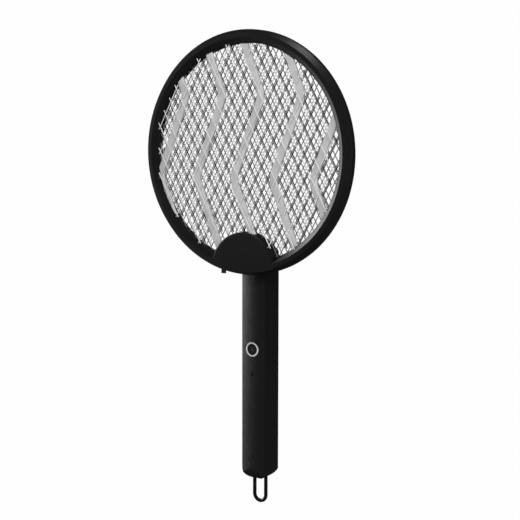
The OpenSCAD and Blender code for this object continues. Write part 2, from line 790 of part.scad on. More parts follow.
// One lead runs from the cell's top to the board, one from its foot along the cell's side
lead_z = max(board_low, cell_top) + 4;
lead_x = -7.5;
lead_y = board_rear + lead_r + 0.05;
lead_turn = cell_low + 8;
lead_end = board_low + 2;
module battery_leads() color([0.6, 0.1, 0.08]) {
  wire(curve([3, cell_y, cell_top + 1.1], [3, cell_y, cell_top + 8],
    [3, board_rear + 6, lead_z], [3, board_rear + 0.05, lead_z]), lead_r);
  wire(concat(
    curve([-3, cell_y - tab_half - 0.7, cell_low - 1.1], [-3, cell_y - tab_half - 9, cell_low - 2],
      [lead_x, lead_y, cell_low + 2], [lead_x, lead_y, lead_turn]),
    [for (k = [1 : 8]) [lead_x, lead_y, lead_turn + k * (lead_end - lead_turn) / 8]]), lead_r);
}

module high_voltage_leads() color([0.6, 0.1, 0.08]) for (s = [-1, 1])
  wire(concat(
    curve([s * 3, board_rear + 0.65, board_high - 3], [s * 3, board_rear + 9, board_high],
      [s, stud_end + head_y + 9, pivot_z], [s, stud_end + head_y + 0.5, pivot_z], 16),
    [[s, stud_end + head_y - 6, pivot_z], [s, head_y + 9, pivot_z]]), lead_r);

// ---- Handle: hanging loop ----

module loop_guide() color([0.08, 0.08, 0.085]) difference() {
  intersection() {
    block(-half_w, half_w, -guide_t / 2, guide_t / 2, guide_z, guide_z + guide_h);
    slab(-5, 5) stadium(wall + 0.1);
  }
  for (m = [-1, 1]) translate([m * loop_x, 0, guide_z - 1])
    cylinder(r = loop_rod / 2 + 0.08, h = guide_h + 2);
}

module hang_loop() color([0.03, 0.03, 0.033]) {
  translate([0, 0, loop_arc_z]) rotate([90, 0, 0]) rotate([0, 0, 180])
    rotate_extrude(angle = 180) translate([loop_x, 0]) circle(r = loop_rod / 2, $fn = 32);
  for (m = [-1, 1]) translate([m * loop_x, 0, 0]) {
    translate([0, 0, loop_arc_z])
      cylinder(r = loop_rod / 2, h = foot_z + loop_leg - loop_arc_z, $fn = 32);
    translate([0, 0, foot_z + loop_leg - knob_h]) cylinder(r = loop_rod / 2 + 0.6, h = knob_h);
  }
}

front_ring();
rear_ring();
grid_carrier();
front_guard();
rear_guard();
electrode_grid();
zigzag_ribs();
ring_screws();
swivel_stud();
stud_screws();
wave_washer();
retaining_ring();
electrode_terminal();
guard_terminal();
head_leads();
fold_latch();
latch_spring();
front_cover();
rear_casing();
casing_screws();
swivel_collar();
button_bezel();
power_button();
tact_switch();
circuit_board();
status_led();
status_light_pipe();
charge_lens();
charge_port();
step_up_transformer();
storage_capacitor();
voltage_diodes();
discharge_resistor();
battery_cell();
battery_tabs();
battery_leads();
high_voltage_leads();
loop_guide();
hang_loop();
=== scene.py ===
# %% [markdown]
# # Electric fly swatter
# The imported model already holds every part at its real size. This lesson dresses it: it gives
# each moulded, drawn or plated part its finish, and it remakes the pieces whose real shape is
# thin round wire or soft-edged metal. Everything is in metres, in the model's own frame:
# +Z runs up the handle and -Y is the front.

# %% Load the frame
import json
import math
import bmesh
import bpy
from mathutils import Matrix, Vector


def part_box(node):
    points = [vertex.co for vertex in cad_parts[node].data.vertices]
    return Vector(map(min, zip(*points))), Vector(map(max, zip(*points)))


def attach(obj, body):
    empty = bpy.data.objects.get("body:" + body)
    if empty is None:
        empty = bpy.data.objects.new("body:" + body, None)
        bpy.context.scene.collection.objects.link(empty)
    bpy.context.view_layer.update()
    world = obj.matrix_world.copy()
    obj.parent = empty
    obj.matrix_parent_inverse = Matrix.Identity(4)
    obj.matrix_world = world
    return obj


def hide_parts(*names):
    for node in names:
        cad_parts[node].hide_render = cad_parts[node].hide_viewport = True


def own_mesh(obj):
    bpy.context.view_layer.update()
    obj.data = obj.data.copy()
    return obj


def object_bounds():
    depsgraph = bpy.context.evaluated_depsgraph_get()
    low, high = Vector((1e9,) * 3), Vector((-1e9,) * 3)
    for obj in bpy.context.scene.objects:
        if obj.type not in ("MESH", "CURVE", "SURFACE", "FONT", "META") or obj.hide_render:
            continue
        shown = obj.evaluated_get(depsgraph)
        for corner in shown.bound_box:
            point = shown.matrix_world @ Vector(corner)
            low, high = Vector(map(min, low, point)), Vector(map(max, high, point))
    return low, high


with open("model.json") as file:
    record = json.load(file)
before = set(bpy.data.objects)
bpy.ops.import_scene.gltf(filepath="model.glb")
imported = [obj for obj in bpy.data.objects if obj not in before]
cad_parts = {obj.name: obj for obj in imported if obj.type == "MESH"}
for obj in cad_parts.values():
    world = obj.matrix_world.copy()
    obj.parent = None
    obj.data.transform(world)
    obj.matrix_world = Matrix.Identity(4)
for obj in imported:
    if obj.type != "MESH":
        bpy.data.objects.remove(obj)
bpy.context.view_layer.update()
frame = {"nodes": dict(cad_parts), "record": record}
nodes = frame["nodes"]

# %% [markdown]
# ## Sizes taken from the frame
# Places come from the boxes of the loaded nodes. The rim's width, the hub's radius and height,
# and the sizes of the wires and ribs further on can't be read from a box. They repeat the
# CAD's own values, so a change to one of those has to be made here too.

# %% Sizes
MM = 0.001


def box_of(name):
    low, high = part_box(name)
    return Vector(low), Vector(high)


ring_low, ring_high = box_of("front_ring")
ring_radius = (ring_high.x - ring_low.x) / 2
head_middle = Vector((0, ring_high.y, ring_high.z - ring_radius))
guard_low = box_of("front_guard")[0]
back_low, back_high = box_of("rear_guard")
electrode_low, electrode_high = box_of("electrode_grid")
rib_low, rib_high = box_of("zigzag_ribs")
rim_width = 12.7 * MM
window_radius = ring_radius - rim_width
hub_radius = 35.1 * MM
hub_rise = 5.4 * MM
hub_middle = head_middle + Vector((0, 0, hub_rise - ring_radius))
print("head radius mm:", round(ring_radius / MM, 1), "middle:", [round(c / MM, 1) for c in head_middle])

# %% [markdown]
# ## A small language for shader maths
# Node trees are easier to read as sums than as lists of links. This class wraps a socket, so
# that `1 - mask * 0.5` adds the Math nodes that it says. `node` makes any other node: its
# settings are set first and then its sockets.

# %% Shader maths
class Value:
    """A socket that can be added, subtracted and multiplied like a number."""

    def __init__(self, tree, socket):
        self.tree = tree
        self.socket = socket

    def maths(self, operation, *others, clamp=False):
        made = self.tree.nodes.new("ShaderNodeMath")
        made.operation = operation
        made.use_clamp = clamp
        for slot, item in zip(made.inputs, (self,) + others):
            plug(self.tree, slot, item)
        return Value(self.tree, made.outputs[0])

    def flipped(self, operation, other):
        made = self.tree.nodes.new("ShaderNodeMath")
        made.operation = operation
        plug(self.tree, made.inputs[0], other)
        plug(self.tree, made.inputs[1], self)
        return Value(self.tree, made.outputs[0])

    def __add__(self, other):
        return self.maths("ADD", other)

    __radd__ = __add__

    def __mul__(self, other):
        return self.maths("MULTIPLY", other)

    __rmul__ = __mul__

    def __sub__(self, other):
        return self.maths("SUBTRACT", other)

    def __rsub__(self, other):
        return self.flipped("SUBTRACT", other)

    def clamped(self):
        return self.maths("ADD", 0.0, clamp=True)

    def step(self, low, high):
        """0 below low, 1 above high and a smooth ramp between them."""
        made = self.tree.nodes.new("ShaderNodeMapRange")
        made.interpolation_type = "SMOOTHSTEP"
        plug(self.tree, made.inputs["Value"], self)
        made.inputs["From Min"].default_value = low
        made.inputs["From Max"].default_value = high
        return Value(self.tree, made.outputs["Result"])


def plug(tree, slot, item):
    """Sets a socket to a number or colour, or links it to a Value."""
    if isinstance(item, Value):
        tree.links.new(item.socket, slot)
    else:
        slot.default_value = item


class Finish:
    """A material being written: a Principled shader and the nodes that feed it."""

    def __init__(self, name):
        self.material = bpy.data.materials.new(name)
        self.material.use_nodes = True
        self.tree = self.material.node_tree
        self.shader = self.tree.nodes["Principled BSDF"]
        self.place = self.node("ShaderNodeTexCoord", "Object")

    def node(self, kind, output, settings=None, **sockets):
        made = self.tree.nodes.new(kind)
        for key, item in (settings or {}).items():
            setattr(made, key, item)
        for key, item in sockets.items():
            plug(self.tree, made.inputs[key.replace("_", " ")], item)
        return Value(self.tree, made.outputs[output])

    def noise(self, scale, detail=2.0, roughness=0.5, output="Fac"):
        return self.node("ShaderNodeTexNoise", output, Vector=self.place,
                         Scale=scale, Detail=detail, Roughness=roughness)

    def cells(self, scale, output="Distance"):
        return self.node("ShaderNodeTexVoronoi", output, Vector=self.place, Scale=scale)

    def stretched(self, x, y, z):
        """Object coordinates scaled by given factors, for brushed or drawn surfaces."""
        made = self.tree.nodes.new("ShaderNodeMapping")
        plug(self.tree, made.inputs["Vector"], self.place)
        made.inputs["Scale"].default_value = (x, y, z)
        return Value(self.tree, made.outputs[0])

    def blend(self, factor, one, two):
        made = self.tree.nodes.new("ShaderNodeMix")
        made.data_type = "RGBA"
        plug(self.tree, made.inputs[0], factor)
        plug(self.tree, made.inputs[6], one)
        plug(self.tree, made.inputs[7], two)
        return Value(self.tree, made.outputs[2])

    def edges(self, size=0.0006):
        """How much a surface turns at this spot: 1 on sharp outer edges."""
        bevel = self.tree.nodes.new("ShaderNodeBevel")
        bevel.samples = 4
        bevel.inputs["Radius"].default_value = size
        flat = self.tree.nodes.new("ShaderNodeNewGeometry")
        dot = self.tree.nodes.new("ShaderNodeVectorMath")
        dot.operation = "DOT_PRODUCT"
        self.tree.links.new(bevel.outputs[0], dot.inputs[0])
        self.tree.links.new(flat.outputs["Normal"], dot.inputs[1])
        return 1 - Value(self.tree, dot.outputs["Value"])

    def bump(self, height, distance, strength=1.0):
        made = self.tree.nodes.new("ShaderNodeBump")
        made.inputs["Strength"].default_value = strength
        made.inputs["Distance"].default_value = distance
        plug(self.tree, made.inputs["Height"], height)
        self.tree.links.new(made.outputs[0], self.shader.inputs["Normal"])

    def set(self, **sockets):
        for key, item in sockets.items():
            plug(self.tree, self.shader.inputs[key.replace("_", " ")], item)
        return self.material


def grey(level, tint=1.0):
    return (level, level, level * tint, 1)


# %% [markdown]
# ## Black moulded plastic
# The frame, hub and rear casing are smooth black plastic from a polished tool. Such a surface
# is never one flat colour: it has a very fine texture, slow changes in gloss from handling and
# slightly paler, rubbed edges. A Bevel node finds the edges.

# %% Smooth black plastic
def moulded(name, level=0.011, rough=0.42, grain=0.35, round_edge=0.0005, rubbed=0.012):
    finish = Finish(name)
    slow = finish.noise(14.0, 3.0)
    fine = finish.noise(2600.0, 2.0)
    specks = finish.noise(420.0, 3.0, 0.65).step(0.62, 0.75)
    worn = finish.edges(round_edge).step(0.02, 0.3) * slow.step(0.35, 0.7)
    base = finish.blend(slow, grey(level * 0.8), grey(level * 1.25))
    base = finish.blend(worn * 0.6 + specks * 0.06, base, grey(level + rubbed))
    finish.bump(fine * 0.6 + slow * 0.4, 0.00002 * grain, 0.6)
    return finish.set(Base_Color=base, Specular_IOR_Level=0.4,
                      Roughness=(rough - 0.07 + slow * 0.12 + fine * 0.05).clamped())


# %% [markdown]
# ## Grained front cover
# The front of the handle has a fine leather-like grain, etched into its tool so that a hand
# does not slip. Small cells with soft borders, broken up by noise, give that look as bump,
# and the gloss varies a little with fine and slow noise.

# %% Grained plastic
def grained(name):
    finish = Finish(name)
    warp = finish.noise(650.0, 2.0)
    pebble = finish.cells(950.0)
    fine = finish.noise(2600.0, 3.0, 0.6)
    slow = finish.noise(18.0, 2.0)
    height = pebble.step(0.05, 0.6) * 0.7 + warp * 0.6 + fine * 0.2
    base = finish.blend(pebble * 0.6 + slow * 0.4, grey(0.003), grey(0.009))
    finish.bump(height, 0.00022, 0.9)
    return finish.set(Base_Color=base, Specular_IOR_Level=0.45,
                      Roughness=(0.36 + fine * 0.12 + slow * 0.05).clamped())


# %% [markdown]
# ## Metals
# Wire is drawn through a die, which leaves faint lines along it and a satin shine. The same
# recipe, with other colours and scales, serves the ribs, the bright ring and the screws.

# %% Metals
def metal(name, colour, rough=0.32, dull=0.55, scale=300.0, shade=0.75, metallic=0.9):
    finish = Finish(name)
    lines = finish.node("ShaderNodeTexNoise", "Fac", Vector=finish.stretched(6.0, 6.0, 0.6),
                        Scale=scale, Detail=2.0)
    patches = finish.noise(60.0, 3.0)
    tarnish = patches.step(0.45, 0.75) * dull
    dark = tuple(c * shade for c in colour[:3]) + (1,)
    base = finish.blend(tarnish * 0.7 + lines * 0.3, colour, dark)
    finish.bump(lines, 0.00002, 0.5)
    return finish.set(Base_Color=base, Metallic=metallic,
                      Roughness=(rough + lines * 0.1 + tarnish * 0.2).clamped())


# %% [markdown]
# ## Finishes of the inner parts
# They show only when the casing is taken away, but each still gets a plain, true finish with
# a little variation: lacquer, solder mask, shrink sleeve and resin.

# %% Inner finishes
def lacquered(name, colour, rough=0.35, vary=0.25, scale=180.0, coat=0.0):
    finish = Finish(name)
    cloud = finish.noise(scale, 3.0)
    fine = finish.noise(scale * 9, 2.0)
    dark = tuple(c * (1 - vary) for c in colour[:3]) + (1,)
    base = finish.blend(cloud.step(0.3, 0.7), colour, dark)
    finish.bump(fine, 0.00003, 0.4)
    return finish.set(Base_Color=base, Coat_Weight=coat,
                      Roughness=(rough - 0.05 + cloud * 0.1 + fine * 0.05).clamped())


finishes = {
    "head_plastic": moulded("head_plastic", 0.0045, 0.34, 0.3),
    "inner_plastic": moulded("inner_plastic", 0.010, 0.5, 0.5),
    "latch_plastic": moulded("latch_plastic", 0.010, 0.45, 0.4),
    "smooth_plastic": moulded("smooth_plastic", 0.0045, 0.38, 0.4),
    "button_black": moulded("button_black", 0.004, 0.38, 0.25),
    "switch_black": moulded("switch_black", 0.02, 0.5, 0.5),
    "loop_black": moulded("loop_black", 0.003, 0.24, 0.2),
    "grained_plastic": grained("grained_plastic"),
    "guard_wire": metal("guard_wire", (0.60, 0.60, 0.61, 1), 0.42, 0.3, metallic=0.25),
    # The rear guard is the same steel wire as the front guard. Its near-black colour is painted shade:
    # it stands in for the shade that falls on the rear sheet behind the electrode.
    "rear_wire": metal("rear_wire", (0.03, 0.03, 0.031, 1), 0.42, 0.4, metallic=0.3),
    "electrode_wire": metal("electrode_wire", (0.22, 0.22, 0.225, 1), 0.42, 0.4, metallic=0.35),
    "rib_metal": metal("rib_metal", (0.44, 0.44, 0.445, 1), 0.6, 0.3, 120.0, 0.9, 0.05),
    "dark_steel": metal("dark_steel", (0.10, 0.10, 0.105, 1), 0.35, 0.5),
    "bright_steel": metal("bright_steel", (0.62, 0.62, 0.64, 1), 0.25, 0.4),
    "contact_steel": metal("contact_steel", (0.3, 0.3, 0.31, 1), 0.35, 0.4),
    "bezel_silver": metal("bezel_silver", (0.62, 0.62, 0.63, 1), 0.3, 0.2, 300.0, 0.85, 0.4),
    "lead_red": lacquered("lead_red", (0.45, 0.03, 0.02, 1), 0.4),
    "board_green": lacquered("board_green", (0.01, 0.12, 0.04, 1), 0.3, 0.4, 400.0),
    "led_white": lacquered("led_white", (0.8, 0.8, 0.72, 1), 0.2, 0.1),
    "light_pipe": lacquered("light_pipe", (0.022, 0.022, 0.023, 1), 0.3, 0.2),
    "lens_black": lacquered("lens_black", (0.005, 0.005, 0.005, 1), 0.14, 0.2),
    "coil_yellow": lacquered("coil_yellow", (0.75, 0.5, 0.06, 1), 0.45, 0.3, 260.0),
    "capacitor_brown": lacquered("capacitor_brown", (0.3, 0.06, 0.03, 1), 0.25, 0.3),
    "diode_black": lacquered("diode_black", (0.015, 0.015, 0.015, 1), 0.35, 0.3),
    "resistor_tan": lacquered("resistor_tan", (0.6, 0.45, 0.25, 1), 0.35, 0.2),
    "cell_blue": lacquered("cell_blue", (0.03, 0.12, 0.35, 1), 0.25, 0.2, 40.0),
}
slot_of = {row["node"]: row["material_slot"] for row in frame["record"]["subparts"]}
for name, part in nodes.items():
    part.data.materials.clear()
    part.data.materials.append(finishes[slot_of[name]])
print("finishes:", len(finishes), "on", len(nodes), "parts")

# %% [markdown]
# ## Wire sheets
# Each sheet is two families of straight wires that cross at a fixed angle and are welded where
# they meet. A cut sheet keeps whole diamonds, and each cut wire stands out a quarter of a side
# past its last weld. Geometry Nodes lay one wire out as points four to a side, repeat it,
# drop the points that lie outside the window or on the hub, and skin what is left as round wire.
# The electrode sheet is trimmed to a plain circle instead, because the carrier holds its edge.

# %% Node tree for one family of wires
class Tree:
    """A Geometry Nodes tree being written, with named inputs."""

    def __init__(self, name, inputs):
        self.tree = bpy.data.node_groups.new(name, "GeometryNodeTree")
        face = self.tree.interface
        face.new_socket("Geometry", in_out="OUTPUT", socket_type="NodeSocketGeometry")
        for label, kind, start in inputs:
            socket = face.new_socket(label, in_out="INPUT", socket_type=kind)
            if start is not None:
                socket.default_value = start
        self.input = self.tree.nodes.new("NodeGroupInput")
        self.output = self.tree.nodes.new("NodeGroupOutput")

    def given(self, label):
        return Value(self.tree, self.input.outputs[label])

    def node(self, kind, output=0, settings=None, **sockets):
        made = self.tree.nodes.new(kind)
        for key, item in (settings or {}).items():
            setattr(made, key, item)
        for key, item in sockets.items():
            plug(self.tree, made.inputs[key.replace("_", " ")], item)
        return Value(self.tree, made.outputs[output])

    def vector(self, operation, one, two=None, output=0, scale=None):
        made = self.tree.nodes.new("ShaderNodeVectorMath")
        made.operation = operation
        plug(self.tree, made.inputs[0], one)
        if two is not None:
            plug(self.tree, made.inputs[1], two)
        if scale is not None:
            plug(self.tree, made.inputs["Scale"], scale)
        return Value(self.tree, made.outputs[output])

    def truth(self, operation, one, two):
        return self.node("FunctionNodeCompare", 0, {"data_type": "FLOAT", "operation": operation},
                         A=one, B=two)

    def finish(self, geometry):
        self.tree.links.new(geometry.socket, self.output.inputs[0])
        return self.tree


def wire_tree():
    tree = Tree("crossed_wires", [
        ("Side", "NodeSocketFloat", 0.0139), ("Angle", "NodeSocketFloat", 0.5),
        ("Window Radius", "NodeSocketFloat", 0.1), ("Hub Radius", "NodeSocketFloat", 0.035),
        ("Hub Height", "NodeSocketFloat", -0.11), ("Wire Radius", "NodeSocketFloat", 0.0005),
        ("Reach", "NodeSocketInt", 12), ("Corners", "NodeSocketInt", 6),
        ("Trimmed", "NodeSocketFloat", 0.0),
        ("Phase", "NodeSocketVector", (0, 0, 0)), ("Centre", "NodeSocketVector", (0, 0, 0)),
        ("Finish", "NodeSocketMaterial", None)])
    side, angle, reach = tree.given("Side"), tree.given("Angle"), tree.given("Reach")
    along_x, along_z = angle.maths("SINE") * side, angle.maths("COSINE") * side
    along = tree.node("ShaderNodeCombineXYZ", X=along_x, Z=along_z)
    across = tree.node("ShaderNodeCombineXYZ", X=along_x * -1.0, Z=along_z)
    quarter = tree.vector("SCALE", along, scale=0.25)
    back = reach * -1.0
    wire = tree.node("GeometryNodeMeshLine", Count=reach * 8.0 + 1.0, Offset=quarter,
                     Start_Location=tree.vector("SCALE", along, scale=back))
    wire = tree.node("GeometryNodeStoreNamedAttribute", 0, {"data_type": "FLOAT"},
                     Geometry=wire, Name="quarter", Value=tree.node("GeometryNodeInputIndex"))
    row = tree.node("GeometryNodeMeshLine", Count=reach * 2.0 + 1.0, Offset=across,
                    Start_Location=tree.vector("SCALE", across, scale=back))
    wires = tree.node("GeometryNodeInstanceOnPoints", Points=row, Instance=wire)
    wires = tree.node("GeometryNodeRealizeInstances", Geometry=wires)
    wires = tree.node("GeometryNodeSetPosition", Geometry=wires, Offset=tree.given("Phase"))
    spot = tree.node("GeometryNodeInputPosition")
    count = tree.node("GeometryNodeInputNamedAttribute", "Attribute", {"data_type": "FLOAT"},
                      Name="quarter")
    phase = count.maths("FLOORED_MODULO", 4.0)
    hub = tree.node("ShaderNodeCombineXYZ", Z=tree.given("Hub Height"))

    def kept(place):
        """1 where a weld at this place lies inside the window and clear of the hub."""
        inside = tree.truth("LESS_THAN", tree.vector("LENGTH", place, output="Value"),
                            tree.given("Window Radius"))
        clear = tree.truth("GREATER_THAN", tree.vector("DISTANCE", place, hub, output="Value"),
                           tree.given("Hub Radius"))
        return inside * clear

    before = kept(tree.vector("SUBTRACT", spot, tree.vector("SCALE", quarter, scale=phase)))
    after = kept(tree.vector("ADD", spot, tree.vector("SCALE", quarter, scale=4.0 - phase)))
    early, late = tree.truth("LESS_THAN", phase, 1.5), tree.truth("GREATER_THAN", phase, 2.5)
    whole = early * before + late * after + (1 - early) * (1 - late) * before * after
    trimmed = tree.given("Trimmed")
    keep = trimmed * kept(spot) + (1 - trimmed) * whole
    wires = tree.node("GeometryNodeDeleteGeometry", 0, {"domain": "POINT", "mode": "ALL"},
                      Geometry=wires, Selection=tree.truth("LESS_THAN", keep, 0.5))
    wires = tree.node("GeometryNodeSetPosition", Geometry=wires, Offset=tree.given("Centre"))
    curves = tree.node("GeometryNodeMeshToCurve", Mesh=wires)
    round_wire = tree.node("GeometryNodeCurvePrimitiveCircle", Radius=tree.given("Wire Radius"),
                           Resolution=tree.given("Corners"))
    skin = tree.node("GeometryNodeCurveToMesh", Curve=curves, Profile_Curve=round_wire)
    tree.tree.nodes[-1].inputs["Fill Caps"].default_value = True
    skin = tree.node("GeometryNodeRealizeInstances", Geometry=skin)
    skin = tree.node("GeometryNodeSetMaterial", Geometry=skin, Material=tree.given("Finish"))
    return tree.finish(skin)


wires_of_one_family = wire_tree()


# %% Bake a tree into a plain mesh
def grow(name, tree, **inputs):
    """Runs a tree on an empty mesh with these inputs and returns the result as an object."""
    seed = bpy.data.objects.new("seed", bpy.data.meshes.new("seed"))
    bpy.context.collection.objects.link(seed)
    modifier = seed.modifiers.new("tree", "NODES")
    modifier.node_group = tree
    for item in tree.interface.items_tree:
        if item.in_out == "INPUT" and item.name in inputs:
            modifier[item.identifier] = inputs[item.name]
    bpy.context.view_layer.update()
    seen = seed.evaluated_get(bpy.context.evaluated_depsgraph_get())
    mesh = bpy.data.meshes.new_from_object(seen)
    bpy.data.objects.remove(seed)
    mesh.name = name
    made = bpy.data.objects.new(name, mesh)
    bpy.context.collection.objects.link(made)
    return made


def joined(name, parts):
    """One object with the meshes of several."""
    whole = bmesh.new()
    for part in parts:
        whole.from_mesh(part.data)
    mesh = bpy.data.meshes.new(name)
    whole.to_mesh(mesh)
    whole.free()
    mesh.materials.append(parts[0].data.materials[0])
    for part in parts:
        bpy.data.objects.remove(part)
    made = bpy.data.objects.new(name, mesh)
    bpy.context.collection.objects.link(made)
    return made


def smooth(part):
    part.data.polygons.foreach_set("use_smooth", [True] * len(part.data.polygons))
    return part


# %% Lay out a whole sheet
wire_angle = math.radians(28.7)


def sheet_of_wires(name, slot, depth, pitch, radius, window, hub, corners, phase, trimmed=0.0):
    side = pitch / math.sin(2 * wire_angle)
    families = []
    for turn in (1, -1):
        centre = Vector((0, head_middle.y + depth + turn * radius * 0.7, head_middle.z))
        families.append(grow(f"{name}_{turn}", wires_of_one_family, **{
            "Side": side, "Angle": turn * wire_angle, "Window Radius": window,
            "Hub Radius": hub, "Hub Height": hub_middle.z - head_middle.z,
            "Wire Radius": radius, "Reach": int(window / side / math.cos(wire_angle)) + 3,
            "Corners": corners, "Phase": (phase[0], 0, phase[1]), "Centre": centre,
            "Trimmed": trimmed,
            "Finish": finishes[slot]}))
    whole = smooth(joined(name, families))
    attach(whole, "head")
    print(name, "faces:", len(whole.data.polygons))
    return whole


guard_pitch, guard_radius, guard_corners = 11.7 * MM, 0.55 * MM, 6
guard_window, guard_hub = window_radius - 0.8 * MM, hub_radius + 0.5 * MM
guard_stands_out = 0.5 * MM
electrode_pitch, electrode_radius, electrode_corners = guard_pitch / 2, 0.5 * MM, 5
electrode_window, electrode_hub = window_radius + 1.2 * MM, hub_radius + 0.3 * MM
# The shift moves the crossings of all three sheets sideways and up from the CAD's.
lattice_shift = (-5.0 * MM, 0.3 * MM)
front_wires = sheet_of_wires("front_guard_wires", "guard_wire",
                             guard_low.y - guard_stands_out - head_middle.y, guard_pitch,
                             guard_radius, guard_window, guard_hub, guard_corners,
                             lattice_shift)
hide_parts("front_guard")
# The rear sheet takes the rear_wire finish, whose near-black colour is painted shade.
rear_wires = sheet_of_wires("rear_guard_wires", "rear_wire",
                            (back_low.y + back_high.y) / 2 - head_middle.y, guard_pitch,
                            guard_radius, guard_window, guard_hub, guard_corners,
                            lattice_shift)
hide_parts("rear_guard")
electrode_wires = sheet_of_wires("electrode_wires", "electrode_wire",
                                 (electrode_low.y + electrode_high.y) / 2 - head_middle.y,
                                 electrode_pitch, electrode_radius, electrode_window,
                                 electrode_hub, electrode_corners, lattice_shift, trimmed=1.0)
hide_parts("electrode_grid")

# %% [markdown]
# ## Zigzag ribs
# Five soft-edged metal strips run up the head in a zigzag and hold the wire sheets apart. One
# strip is a path with rounded turns and a cross-section with a low crown. Geometry Nodes round
# the turns, sweep the section, repeat the strip across the window and cut it to the window and
# to the hub, so a change of pitch or swing needs no modelling.

# %% Node tree for the ribs
rib_count, rib_pitch, rib_shift = 5, 43.5 * MM, 2 * MM
rib_width, rib_swing, rib_stretch, rib_turn = 7.5 * MM, 16 * MM, 78 * MM, 54 * MM
turn_rounding = 17 * MM


def rib_tree():
    tree = Tree("zigzag_ribs", [
        ("Count", "NodeSocketInt", 5), ("Pitch", "NodeSocketFloat", 0.04),
        ("Swing", "NodeSocketFloat", 0.016), ("Stretch", "NodeSocketFloat", 0.078),
        ("Turn Height", "NodeSocketFloat", 0.054), ("Rounding", "NodeSocketFloat", 0.015),
        ("Width", "NodeSocketFloat", 0.0075), ("Thickness", "NodeSocketFloat", 0.003),
        ("Window Radius", "NodeSocketFloat", 0.1), ("Hub Radius", "NodeSocketFloat", 0.035),
        ("Hub Height", "NodeSocketFloat", -0.11), ("Shift", "NodeSocketFloat", 0.002),
        ("Centre", "NodeSocketVector", (0, 0, 0)), ("Finish", "NodeSocketMaterial", None)])
    stretch, swing, width = tree.given("Stretch"), tree.given("Swing"), tree.given("Width")
    path = tree.node("GeometryNodeMeshLine", Count=6, Start_Location=tree.node(
        "ShaderNodeCombineXYZ", Z=tree.given("Turn Height") - stretch * 3.0),
        Offset=tree.node("ShaderNodeCombineXYZ", Z=stretch))
    odd = tree.node("GeometryNodeInputIndex").maths("MODULO", 2.0)
    path = tree.node("GeometryNodeSetPosition", Geometry=path, Offset=tree.node(
        "ShaderNodeCombineXYZ", X=(odd * 2.0 - 1.0) * swing))
    path = tree.node("GeometryNodeMeshToCurve", Mesh=path)
    path = tree.node("GeometryNodeFilletCurve", 0, {"mode": "POLY"}, Curve=path,
                     Radius=tree.given("Rounding"), Count=7)
    path = tree.node("GeometryNodeSetCurveNormal", 0, {"mode": "FREE"}, Curve=path,
                     Normal=(0.0, 1.0, 0.0))
    section = tree.node("GeometryNodeCurvePrimitiveCircle", Radius=0.5, Resolution=16)
    spot = tree.node("GeometryNodeInputPosition")
    parts = tree.tree.nodes.new("ShaderNodeSeparateXYZ")
    plug(tree.tree, parts.inputs[0], spot)
    flat = [tree.node("ShaderNodeMath", 0, {"operation": "SIGN"}, Value=Value(tree.tree, side))
            * Value(tree.tree, side).maths("ABSOLUTE").maths("MULTIPLY", 2.0).maths("POWER", 0.32)
            * 0.5 for side in parts.outputs[:2]]
    section = tree.node("GeometryNodeSetPosition", Geometry=section, Position=tree.node(
        "ShaderNodeCombineXYZ", X=flat[1] * tree.given("Thickness"), Y=flat[0] * width))
    strip = tree.node("GeometryNodeCurveToMesh", Curve=path, Profile_Curve=section)
    tree.tree.nodes[-1].inputs["Fill Caps"].default_value = True
    first = (tree.given("Count") * 0.5 - 0.5) * tree.given("Pitch") * -1.0 + tree.given("Shift")
    row = tree.node("GeometryNodeMeshLine", Count=tree.given("Count"),
                    Start_Location=tree.node("ShaderNodeCombineXYZ", X=first),
                    Offset=tree.node("ShaderNodeCombineXYZ", X=tree.given("Pitch")))
    strips = tree.node("GeometryNodeInstanceOnPoints", Points=row, Instance=strip)
    strips = tree.node("GeometryNodeRealizeInstances", Geometry=strips)

    def drum(radius, height):
        body = tree.node("GeometryNodeMeshCylinder", Vertices=128, Radius=radius, Depth=0.05)
        return tree.node("GeometryNodeTransform", Geometry=body, Rotation=(math.pi / 2, 0.0, 0.0),
                         Translation=tree.node("ShaderNodeCombineXYZ", Z=height))

    window_drum = drum(tree.given("Window Radius"), 0.0)
    hub_drum = drum(tree.given("Hub Radius"), tree.given("Hub Height"))
    for operation, tool in (("INTERSECT", window_drum), ("DIFFERENCE", hub_drum)):
        cut = tree.tree.nodes.new("GeometryNodeMeshBoolean")
        cut.operation = operation
        cut.solver = "EXACT"
        if operation == "DIFFERENCE":
            plug(tree.tree, cut.inputs[0], strips)
        else:
            plug(tree.tree, cut.inputs[1], strips)
        plug(tree.tree, cut.inputs[1], tool)
        strips = Value(tree.tree, cut.outputs[0])
    strips = tree.node("GeometryNodeSetPosition", Geometry=strips, Offset=tree.given("Centre"))
    strips = tree.node("GeometryNodeRealizeInstances", Geometry=strips)
    strips = tree.node("GeometryNodeSetMaterial", Geometry=strips, Material=tree.given("Finish"))
    return tree.finish(strips)


# %% Grow the ribs
rib_middle = (rib_low.y + rib_high.y) / 2
ribs = grow("zigzag_strips", rib_tree(), **{
    "Count": rib_count, "Pitch": rib_pitch, "Swing": rib_swing, "Stretch": rib_stretch,
    "Turn Height": rib_turn, "Rounding": turn_rounding, "Width": rib_width,
    "Thickness": rib_high.y - rib_low.y, "Window Radius": window_radius - 0.05 * MM,
    "Hub Radius": hub_radius + 0.2 * MM, "Hub Height": hub_middle.z - head_middle.z,
    "Shift": rib_shift, "Centre": Vector((0, rib_middle, head_middle.z)),
    "Finish": finishes["rib_metal"]})
ribs.data.set_sharp_from_angle(angle=math.radians(50))
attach(ribs, "head")
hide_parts("zigzag_ribs")
print("ribs:", rib_count, "faces:", len(ribs.data.polygons),
      "width mm:", [round((max(v.co[i] for v in ribs.data.vertices) - min(
          v.co[i] for v in ribs.data.vertices)) / MM, 1) for i in range(3)])

# %% [markdown]
# ## Mark on the button
# A power button carries a plain mark so that a thumb knows what it does. Here it is a small
# bolt, printed in grey: a thin raised outline, just proud of the dished cap. An outline with
# six corners, given a thickness, is all it needs.

